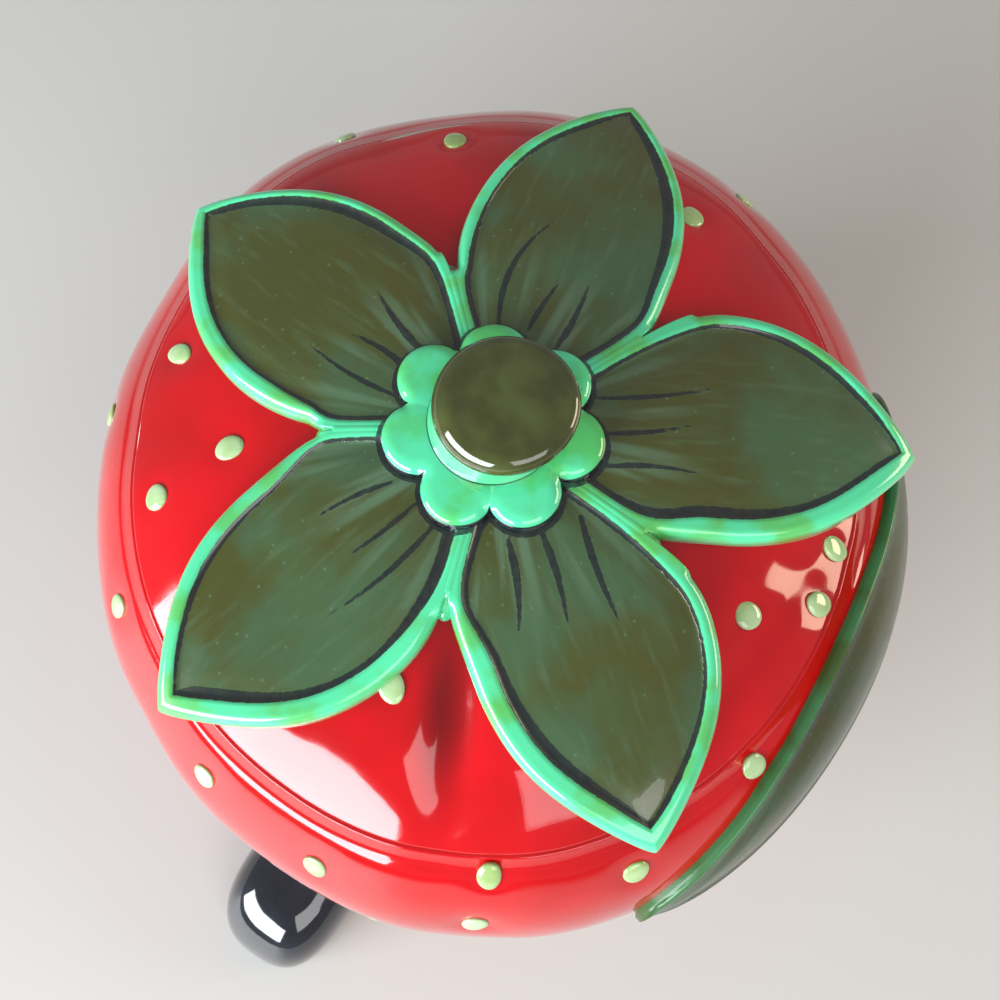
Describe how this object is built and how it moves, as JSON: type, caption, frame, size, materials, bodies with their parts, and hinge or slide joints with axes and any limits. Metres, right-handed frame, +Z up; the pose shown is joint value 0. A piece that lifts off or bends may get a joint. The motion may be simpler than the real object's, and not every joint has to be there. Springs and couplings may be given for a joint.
{
  "type": "strawberry-shaped ceramic jar",
  "caption": "Glazed ceramic storage jar shaped like a strawberry, with a lift-off lid carrying relief leaves, a scalloped collar and a stem knob.",
  "frame": {"origin": "centre of the flat base, on the surface that the jar stands on", "axes": "+Z up along the jar's axis, -Y towards the front, +X to the right, where the long relief leaf lies"},
  "size_m": [0.1913, 0.2434, 0.1799],
  "materials": {
    "red_glaze": "gloss glaze over earthenware, deeper red in the hollows",
    "leaf_glaze": "gloss olive green with brushed dark veins and outline and a mint edge",
    "mint_glaze": "gloss mint green with a brushed dark outline",
    "knob_glaze": "gloss olive top over a mint side",
    "seed_glaze": "gloss pale green",
    "black_glaze": "high gloss black"
  },
  "bodies": {
    "root": {"collar": "mint_glaze", "foot_back": "black_glaze", "foot_front": "black_glaze", "jar_body": "red_glaze", "knob": "knob_glaze", "lid_dome": "red_glaze", "lid_leaf_1": "leaf_glaze", "lid_leaf_2": "leaf_glaze", "lid_leaf_3": "leaf_glaze", "lid_leaf_4": "leaf_glaze", "lid_leaf_5": "leaf_glaze", "seed_01": "seed_glaze", "seed_02": "seed_glaze", "seed_03": "seed_glaze", "seed_04": "seed_glaze", "seed_05": "seed_glaze", "seed_06": "seed_glaze", "seed_07": "seed_glaze", "seed_08": "seed_glaze", "seed_09": "seed_glaze", "seed_10": "seed_glaze", "seed_11": "seed_glaze", "seed_12": "seed_glaze", "seed_13": "seed_glaze", "seed_14": "seed_glaze", "seed_15": "seed_glaze", "seed_16": "seed_glaze", "seed_17": "seed_glaze", "seed_18": "seed_glaze", "seed_19": "seed_glaze", "seed_20": "seed_glaze", "seed_21": "seed_glaze", "seed_22": "seed_glaze", "seed_23": "seed_glaze", "seed_24": "seed_glaze", "seed_25": "seed_glaze", "seed_26": "seed_glaze", "seed_27": "seed_glaze", "seed_28": "seed_glaze", "seed_29": "seed_glaze", "seed_30": "seed_glaze", "seed_31": "seed_glaze", "seed_32": "seed_glaze", "seed_33": "seed_glaze", "seed_34": "seed_glaze", "seed_35": "seed_glaze", "seed_36": "seed_glaze", "seed_37": "seed_glaze", "seed_38": "seed_glaze", "seed_39": "seed_glaze", "seed_40": "seed_glaze", "seed_41": "seed_glaze", "seed_42": "seed_glaze", "seed_43": "seed_glaze", "side_leaf": "leaf_glaze"}
  },
  "joints": []
}
